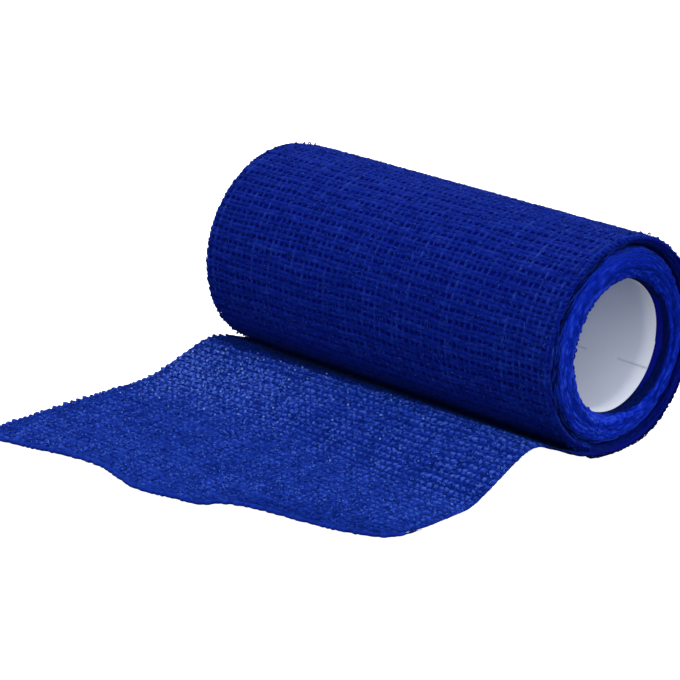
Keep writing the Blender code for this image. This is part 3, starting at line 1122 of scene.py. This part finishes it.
# Painted light where light comes through the drawn-open cloth.
LIGHT_THROUGH = 0.18
DRAWN_THINNER = 0.28
DRAWN_RISE = 0.03
DRAWN_LENGTHS = [0.014, 0.02, 0.03, 0.04]
# Painted shade by the right of the cut, where the cloth turns down.
CUT_SHADE = 0.22
CUT_SHADE_SPAN = 0.010
CUT_SHADE_RISE = 0.02

LOOSE_PAIR_MIDDLES = loose_row_at(np.arange(LOOSE_PAIRS) + 0.5)
LOOSE_ROWS = (LOOSE_PAIR_MIDDLES[:, None] + np.array([-LOOSE_CLOSENESS, LOOSE_CLOSENESS])).ravel()


def drawn_open(across, length):
    """1 at the left of the crest, where the cloth is drawn a little open, and 0 further off."""
    return ramp(-across, 0, DRAWN_RISE) * np.interp(length, DRAWN_LENGTHS, [0, 1, 1, 0])


def painted_light_and_shade(across, length):
    """Painted light and shade: how much lighter the cloth is painted where light comes through it, and
    how much deeper it is painted by the right of the cut, where it turns down."""
    near_cut = 1 - ramp(cut_length(across) - length, 0, CUT_SHADE_SPAN)
    at_right = ramp(across, 0, CUT_SHADE_RISE)
    return LIGHT_THROUGH * drawn_open(across, length) - CUT_SHADE * near_cut * at_right


def relief(length):
    """How strongly the weave stands up: most over the crest, less where the cloth lies flat."""
    return np.interp(length, [0.008, 0.018, 0.032, 0.046], [0.6, 1.0, 1.0, 0.6])


def stray(across, length, seed):
    """How far a loose thread wanders from its place, within one crossing."""
    return LOOSE_STRAY * (
        soft_noise(across / STRAY_SIZE[0] + 70, length / STRAY_SIZE[1] + 3, seed) - 0.5
    )


def loose_cross_threads(row, length):
    """The stretches of one crosswise thread that the cut leaves."""
    counts = np.arange(0, ROLL_COLUMNS * 3 + 1) / 3 - 0.5
    across = loose_column_at(counts)
    stands_out = default_rng(2100 + row // 2).uniform(0.1, 1.6)
    loop = np.linspace(0, SELVEDGE_LOOP * stands_out, 4)[1:]
    across = np.concatenate([across[0] - loop[::-1], across, across[-1] + loop])
    counts = np.concatenate([counts[:3], counts, counts[-3:]])
    past = ramp(np.abs(across) - LOOSE_HALF_WIDTH, -LOOP_STARTS, SELVEDGE_LOOP)
    toward_mate = LOOSE_CLOSENESS * (1 if row % 2 == 0 else -1)
    sway = row_sway(across, length, LOOSE_CREPE_SEED) + stray(across, length, 74)
    swayed = length + sway + toward_mate * past**2
    held = np.clip(across, -LOOSE_HALF_WIDTH, LOOSE_HALF_WIDTH)
    kept = swayed < cut_length(held) - CUT_CLEAR
    found = []
    edges = np.flatnonzero(np.diff(np.concatenate([[False], kept, [False]]).astype(int)))
    for start, stop in zip(edges[::2], edges[1::2]):
        if stop - start < SHORTEST_STRETCH:
            continue
        cut = slice(start, stop)
        over = (CROSS_LIES_AT - 0.15 * np.cos(2 * pi * counts[cut])) * relief(length)
        rise = LOOSE_RISE * over + LOOSE_CREPE * crepe_rise(across[cut], length, LOOSE_RISE_SEED)
        rise = rise + LOOP_LIFT * stands_out * past[cut]
        points, out, onward = on_loose_end(held[cut], swayed[cut], rise)
        points[:, 0] += across[cut] - held[cut]
        place = across[cut] / LOOSE_CROSS_SLUB + row * 7.3
        thick = slubs(place, row * 3.7, LOOSE_CROSS_THINNEST, 81)
        ends = np.ones(stop - start)
        ends[[0, -1]] = THREAD_END
        thick = thick * (1 - DRAWN_THINNER * drawn_open(held[cut], length))
        width, height = yarn_size(LOOSE_CROSS_HALF_WIDTH, LOOSE_HALF_HEIGHT, thick)
        tone = yarn_tone(LOOSE_CROSS_TONE, rise, LOOSE_RISE, 900 + row)
        # Painted light where light comes through the drawn-open cloth, and painted shade by the cut's
        # right and behind the crest.
        tone = tone + painted_light_and_shade(held[cut], length) - painted_shade_behind_crest(held[cut], length)
        found.append((points, out, onward, width * ends * (1.05 + 0.2 * over), height * ends, tone))
    return found


def loose_long_thread(column):
    """One lengthwise thread from the roll to the cut."""
    across = loose_column_at(column)
    pair_counts = np.arange(0, LOOSE_PAIRS * 4 + 1) / 4 - 0.5
    length = loose_row_at(pair_counts + 0.5)
    kept = length < cut_length(across)[0]
    pair_counts, length = pair_counts[kept], length[kept]
    wander = LOOSE_WANDER * (soft_noise(column * 5.3, length / LOOSE_WANDER_SIZE, 83) - 0.5)
    place = across + wander + stray(across, length, 76)
    place = np.clip(place, -LOOSE_HALF_WIDTH, LOOSE_HALF_WIDTH)
    late = PEBBLE_STRAY * (2 * soft_noise(column * 3.7, length / 0.0045, 87) - 1)
    over = np.cos(2 * pi * (pair_counts + late)) * relief(length)
    rise = LOOSE_RISE * over + LOOSE_CREPE * crepe_rise(place, length, LOOSE_RISE_SEED)
    thick = slubs(column * 2.9, length / LOOSE_LONG_SLUB, LONG_THINNEST, 85)
    thick = thick * (1 - DRAWN_THINNER * drawn_open(place, length))
    swayed = np.clip(length + row_sway(place, length, LOOSE_CREPE_SEED), 0, None)
    points, out, onward = on_loose_end(place, swayed, rise)
    ends = np.ones(len(length))
    ends[-1] = THREAD_END
    width, height = yarn_size(LOOSE_LONG_HALF_WIDTH, LOOSE_HALF_HEIGHT, thick)
    sizes = width * ends * (0.80 + PEBBLE * over), height * ends
    tone = yarn_tone(LOOSE_LONG_TONE, rise, LOOSE_RISE, 1500 + column)
    # Painted light where light comes through the drawn-open cloth, and painted shade by the cut's right
    # and behind the crest.
    tone = tone + painted_light_and_shade(place, length) - painted_shade_behind_crest(place, length)
    return points, out, np.cross(onward, out), *sizes, tone


def selvedge_root(side_sign):
    """The bunched selvedge where the outer turn leaves the roll, from the rim out along the cloth."""
    travelled = np.linspace(ROOT_FROM, 0.0, ROOT_POINTS)
    on_rim = on_roll(side_sign * ROOT_IN_ROLL, travelled, OUTER_RADIUS - ROOT_DEPTH)
    inward = -round_the_roll(PEEL_ANGLE - travelled)[0]
    length = np.linspace(ROOT_CLOTH_START, ROOT_LENGTH, ROOT_POINTS)
    on_cloth, upward, _ = on_loose_end(side_sign * ROOT_ON_CLOTH, length, ROOT_LIFT)
    centre = np.concatenate([on_rim, on_cloth])
    out = np.concatenate([inward, upward])
    side = unit(np.cross(np.gradient(centre, axis=0), out))
    full = np.sin(pi * np.linspace(0.06, 0.94, len(centre))) ** 0.5
    uneven = 0.8 + 0.4 * soft_noise(np.arange(len(centre)) / 1.7, 5.0 * side_sign + 9, 89)
    sizes = ROOT_HALF_WIDTH * full * uneven, ROOT_HALF_HEIGHT * full * uneven
    return centre, out, side, *sizes, ROOT_TONE


loose_yarn = cloth_finish(
    "loose_yarn",
    (0.0003, 0.0062, 0.165),
    (0.0125, 0.056, 0.59),
    (0.120, 0.23, 0.90),
    mottled=0.56,
    contrast=0.12,
)
roots = [selvedge_root(1), selvedge_root(-1)]
add_threads("selvedge_roots", roots, 8, False, outer_turn_yarn)
for part, rows in halves(len(LOOSE_ROWS), "near", "far"):
    threads = [thread for row in rows for thread in loose_cross_threads(row, LOOSE_ROWS[row])]
    name = "loose_crosswise_" + part
    add_threads(name, threads, 5, True, loose_yarn)
threads = [loose_long_thread(column) for column in range(ROLL_COLUMNS)]
add_threads("loose_lengthwise", threads, 5, True, loose_yarn)


# The nap, fluff and cut edge of the loose end. Fine fibres and short soft fluff lie over its
# threads, with pale beads of painted light where the weave is drawn open, and along the cut the thread
# ends are pressed and stuck together into a smooth soft strip.
LOOSE_LENGTH = LOOSE_WEAVE[-1].length
LOOSE_NAP_FIBRES = 3000
LOOSE_NAP_HALF_WIDTH = 0.6 * NAP_HALF_WIDTH
LOOSE_NAP_REACH = (0.0006, 0.0020)
FLUFF_FIBRES = 9500
FLUFF_HALF_WIDTH = 0.00018
FLUFF_REACH = (0.00035, 0.0008)
STREWN_INSET = 0.0004
STREWN_CUT_GAP = 0.001
STREWN_LIFT = 0.00012
BEADS_ACROSS = [-0.046, -0.036, -0.022, 0.000, 0.040]
BEAD_SHARES_ACROSS = [0.95, 0.85, 0.50, 0.18, 0.10]
BEADS_ALONG = [0.0125, 0.0150, 0.0300, 0.0440]
BEAD_SHARES_ALONG = [0.0, 1.0, 0.8, 0.0]
BEAD_PAIRS = (5, 26)
BEAD_REACH = (0.00030, 0.00060)
BEAD_LIFT = (0.00022, 0.00042)
BEAD_HALF_WIDTH = 0.00025
BEAD_STRAY = 0.00035
CUT_STRIP_HALF_WIDTH = 0.0005
CUT_STRIP_HALF_HEIGHT = 0.00045
CUT_STRIP_INSET = 0.0002
CUT_STRIP_LIES_AT = -0.00020
CUT_STRIP_GAPS = (0.0003, 0.0002)
CUT_STRIP_STEPS = 420
CUT_STRIP_END_STEPS = 26


def cut_strip():
    left_gap, right_gap = CUT_STRIP_GAPS
    x = np.linspace(-LOOSE_HALF_WIDTH + left_gap, LOOSE_HALF_WIDTH - right_gap, 4000)
    y = read_across(CUT_POINTS, "y", x)
    along = np.concatenate([[0], np.hypot(np.diff(x), np.diff(y)).cumsum()])
    x = np.interp(np.linspace(0, along[-1], CUT_STRIP_STEPS), along, x)
    points, out, _ = on_loose_end(x, cut_length(x) - CUT_STRIP_INSET, CUT_STRIP_LIES_AT)
    side = np.cross(unit(np.gradient(points, axis=0)), out)
    step = np.arange(CUT_STRIP_STEPS)
    uneven = soft_noise(step / 2.3, 0.0, 91)
    ends = np.clip(np.minimum(step, step[::-1]) / CUT_STRIP_END_STEPS, 0.12, 1)
    width = CUT_STRIP_HALF_WIDTH * (0.6 + 0.8 * uneven) * ends
    height = CUT_STRIP_HALF_HEIGHT * (0.7 + 0.5 * uneven) * ends
    return points, out, side, width, height, 0.3 + 0.5 * uneven


def loose_fibres(count, half_width, reaches, seed):
    """Fibres strewn over the loose end, from its crest to its cut."""
    span = LOOSE_HALF_WIDTH - STREWN_INSET
    across, length, lift = strewn(count, span, LOOSE_LENGTH, reaches, seed)
    across = np.clip(across, -LOOSE_HALF_WIDTH, LOOSE_HALF_WIDTH)
    on_cloth = length.max(axis=1) < cut_length(across.mean(axis=1)) - STREWN_CUT_GAP
    on_cloth &= length.min(axis=1) > CREST_LENGTH - CREST_SHADE_SPAN
    across, length, lift = across[on_cloth], length[on_cloth], lift[on_cloth]
    middle = across.mean(axis=1), length.mean(axis=1)
    # Painted light and shade for the fibres, as on the threads under them.
    lighter = 2 * painted_light_and_shade(*middle) - painted_shade_behind_crest(*middle)
    placed = on_loose_end(across, length, lift + STREWN_LIFT)
    return fibre_threads(placed, half_width, seed + 1, lighter=lighter)


def painted_light_beads():
    """Pale beads of painted light in the weave's openings, where the cloth is drawn open over the crest.
    """
    draw = default_rng(101)
    columns, pairs = np.meshgrid(np.arange(ROLL_COLUMNS - 1) + 0.5, np.arange(*BEAD_PAIRS))
    across = loose_column_at(columns.ravel()) + draw.normal(0, BEAD_STRAY, columns.size)
    length = loose_row_at(pairs.ravel()) + draw.normal(0, BEAD_STRAY, columns.size)
    share = np.interp(across, BEADS_ACROSS, BEAD_SHARES_ACROSS)
    share = share * np.interp(length, BEADS_ALONG, BEAD_SHARES_ALONG)
    kept = draw.random(columns.size) < share
    across, length = across[kept][:, None], length[kept][:, None]
    reach = draw.uniform(*BEAD_REACH, (kept.sum(), 1)) * np.linspace(-0.5, 0.5, NAP_POINTS)
    lift = draw.uniform(*BEAD_LIFT, (kept.sum(), 1))
    return fibre_threads(on_loose_end(across + reach, length, lift), BEAD_HALF_WIDTH, 102)


cut_cloth = cloth_finish(
    "cut_cloth", (0.0010, 0.008, 0.21), (0.0050, 0.030, 0.43), (0.040, 0.12, 0.76), 0.60
)
fluff_yarn = cloth_finish(
    "fluff_yarn", (0.002, 0.014, 0.26), (0.018, 0.080, 0.66), (0.105, 0.235, 0.92)
)
# Painted light: the beads' finish is a bright pale blue.
latex = cloth_finish("latex", (0.04, 0.12, 0.56), (0.13, 0.27, 0.88), (0.28, 0.44, 1.0), 0.50)
loose_nap = loose_fibres(LOOSE_NAP_FIBRES, LOOSE_NAP_HALF_WIDTH, LOOSE_NAP_REACH, 93)
loose_fluff = loose_fibres(FLUFF_FIBRES, FLUFF_HALF_WIDTH, FLUFF_REACH, 97)
for name, threads, around, finish in (
    ("cut_edge", [cut_strip()], 10, cut_cloth),
    ("loose_nap", loose_nap, 3, nap_yarn),
    ("loose_fluff", loose_fluff, 3, fluff_yarn),
    ("painted_light_beads", painted_light_beads(), 4, latex),
):
    add_threads(name, threads, around, False, finish)


# The studio: a plain white surface that curves up into a plain white wall, soft light from all of
# the sky over it and a little more from the right, and the camera where the picture was taken.
FLOOR_RADIUS = 2.5
WALL_RISE = 3.0
FLOOR_GAP_BELOW = 0.00005
SKY_STRENGTH = 0.78
SKY_FROM_RIGHT = 0.5
SKY_FROM_FRONT = 0.35


def make_floor():
    """A round floor with a wall that curves up from its edge."""
    turned = np.linspace(0, 2 * pi, 96, endpoint=False)
    lean = np.linspace(0, pi / 2, 12)
    reach = np.concatenate([[0.0], FLOOR_RADIUS + WALL_RISE * np.sin(lean)])
    height = np.concatenate([[0.0], WALL_RISE * (1 - np.cos(lean))]) - FLOOR_GAP_BELOW
    reach, height = reach[:, None], height[:, None] + 0 * turned
    points = np.stack([reach * np.cos(turned), reach * np.sin(turned), height], axis=-1)
    quads = grid_quads(len(reach), len(turned), False, True)
    return add_piece("floor", points, quads)


floor = make_floor()
table_top = Finish(bpy.data.materials.new("table_top"))
table_top.surface(
    Base_Color=(0.9, 0.9, 0.9, 1), Roughness=0.9, Emission_Color=(1, 1, 1, 1), Emission_Strength=1.0
)
floor.data.materials.append(table_top.owner)
floor.visible_diffuse = False
floor.visible_glossy = False
floor.visible_shadow = False

sky = Finish(bpy.data.worlds.new("studio"), "Background")
bpy.context.scene.world = sky.owner
sky_way = sky.node("ShaderNodeTexCoord", {}, {}, "Generated")
sky_right, sky_back, sky_up = (
    sky.node("ShaderNodeSeparateXYZ", {}, {0: sky_way}, axis) for axis in "XYZ"
)
over_horizon = sky.spread(sky_up, -0.02, 0.16, 0.01, SKY_STRENGTH)
from_right = sky.spread(sky_right, 0.0, 1.0, 0.0, SKY_FROM_RIGHT)
from_front = sky.spread(sky_back, 0.0, -1.0, 0.0, SKY_FROM_FRONT)
sky.surface(Color=(1, 1, 1, 1), Strength=over_horizon * (1 + from_right + from_front))


def add_light(name, place, target, size, power):
    lamp = bpy.data.lights.new(name, "AREA")
    lamp.shape = "DISK"
    lamp.size = size
    lamp.energy = power
    light = bpy.data.objects.new(name, lamp)
    light.location = place
    light.rotation_euler = (Vector(target) - Vector(place)).to_track_quat("-Z", "Y").to_euler()
    bpy.context.scene.collection.objects.link(light)


add_light("overhead", (-0.25, 0.10, 1.1), (0, 0, 0), 0.7, 3.0)
add_light("from_the_right", (1.1, -0.3, 0.5), (0, 0, 0.02), 0.6, 3.0)

CAMERA_AZIMUTH = radians(44.76)
CAMERA_ELEVATION = radians(19.73)
CAMERA_DISTANCE = 0.639
CAMERA_AIM = Vector((-0.0187, -0.0128, 0.0109))

lens = bpy.data.cameras.new("camera")
lens.sensor_width = 36.0
lens.lens = 153.8
lens.clip_start = 0.01
camera = bpy.data.objects.new("camera", lens)
backwards = Vector(
    (
        sin(CAMERA_AZIMUTH) * cos(CAMERA_ELEVATION),
        -cos(CAMERA_AZIMUTH) * cos(CAMERA_ELEVATION),
        sin(CAMERA_ELEVATION),
    )
)
camera.location = CAMERA_AIM + CAMERA_DISTANCE * backwards
camera.rotation_euler = (-backwards).to_track_quat("-Z", "Y").to_euler()
bpy.context.scene.collection.objects.link(camera)
bpy.context.scene.camera = camera
bpy.context.scene.view_settings.view_transform = "Standard"
